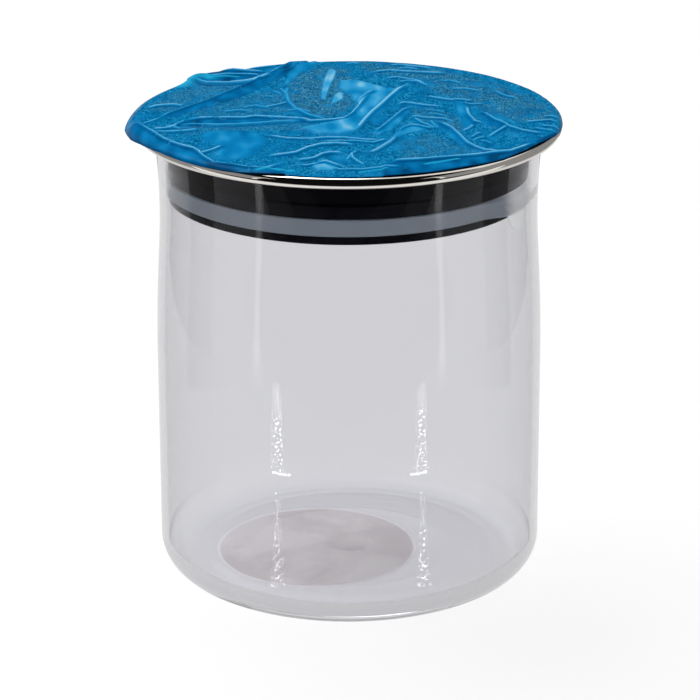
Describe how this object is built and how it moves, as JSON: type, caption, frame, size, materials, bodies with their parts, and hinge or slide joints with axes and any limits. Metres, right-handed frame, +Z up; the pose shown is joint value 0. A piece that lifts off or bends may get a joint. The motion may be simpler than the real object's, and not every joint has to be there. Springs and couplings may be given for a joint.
{
  "type": "glass starter jar with push-in lid",
  "caption": "Round glass canister with a gently drawn-in neck and a push-in steel lid on a black plug with a silicone seal, blue protective film still on the lid.",
  "frame": {"origin": "centre of the jar's foot, on the surface that it stands on", "axes": "+Z up along the jar's axis; -Y is the front, +X the side of the seal's pull tab"},
  "size_m": [0.1096, 0.1096, 0.1223],
  "materials": {
    "jar_glass": "clear, polished",
    "label_paper": "matt, patchy glue",
    "cap_steel": "satin with a polished bead",
    "plug_plastic": "moulded, semi-gloss",
    "seal_silicone": "translucent, satin",
    "film_plastic": "thin, glossy, crumpled"
  },
  "bodies": {
    "jar": {"glass_jar": "jar_glass", "base_label": "label_paper"},
    "lid": {"lid_cap": "cap_steel", "lid_plug": "plug_plastic", "seal_ring": "seal_silicone", "protective_film": "film_plastic"}
  },
  "joints": [
    {"name": "lid_lift", "type": "slide", "parent": "jar", "child": "lid", "axis": [0, 0, 1], "range_m": [0, 0.06]}
  ]
}
